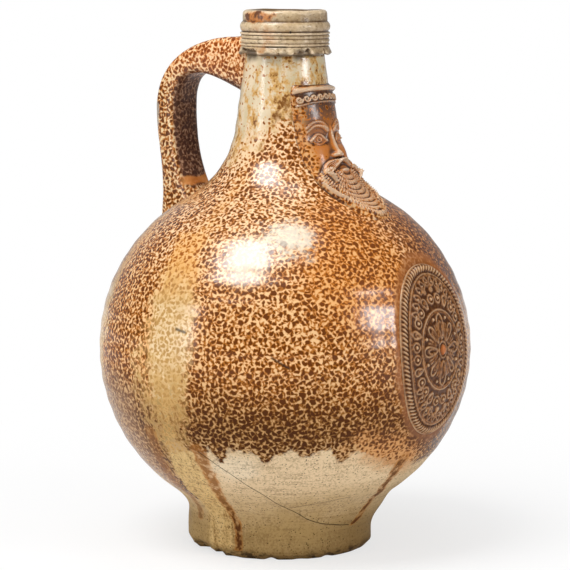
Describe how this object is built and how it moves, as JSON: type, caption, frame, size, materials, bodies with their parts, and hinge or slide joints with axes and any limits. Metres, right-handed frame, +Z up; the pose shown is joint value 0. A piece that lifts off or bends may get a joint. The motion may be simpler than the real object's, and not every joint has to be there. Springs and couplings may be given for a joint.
{
  "type": "bartmann jug",
  "caption": "Round-bellied salt-glazed stoneware jug with a narrow reeded mouth, a strap handle, a bearded mask on the neck and an oval medallion on the belly.",
  "frame": {"origin": "on the turning axis, on the underside of the foot", "axes": "+Z up along the turning axis, -Y the way the mask and the medallion look, +Y towards the handle"},
  "size_m": [0.1528, 0.1551, 0.22],
  "materials": {
    "body_glaze": "mottled brown salt glaze over tan clay",
    "collar_glaze": "thin olive tan salt glaze",
    "handle_glaze": "mottled brown salt glaze over tan clay",
    "mask_glaze": "brown salt glaze pooled round the relief",
    "medallion_glaze": "orange brown salt glaze pooled round the relief"
  },
  "bodies": {
    "root": {"jug_body": "body_glaze", "rim_collar": "collar_glaze", "handle": "handle_glaze", "face_mask": "mask_glaze", "medallion": "medallion_glaze"}
  },
  "joints": []
}
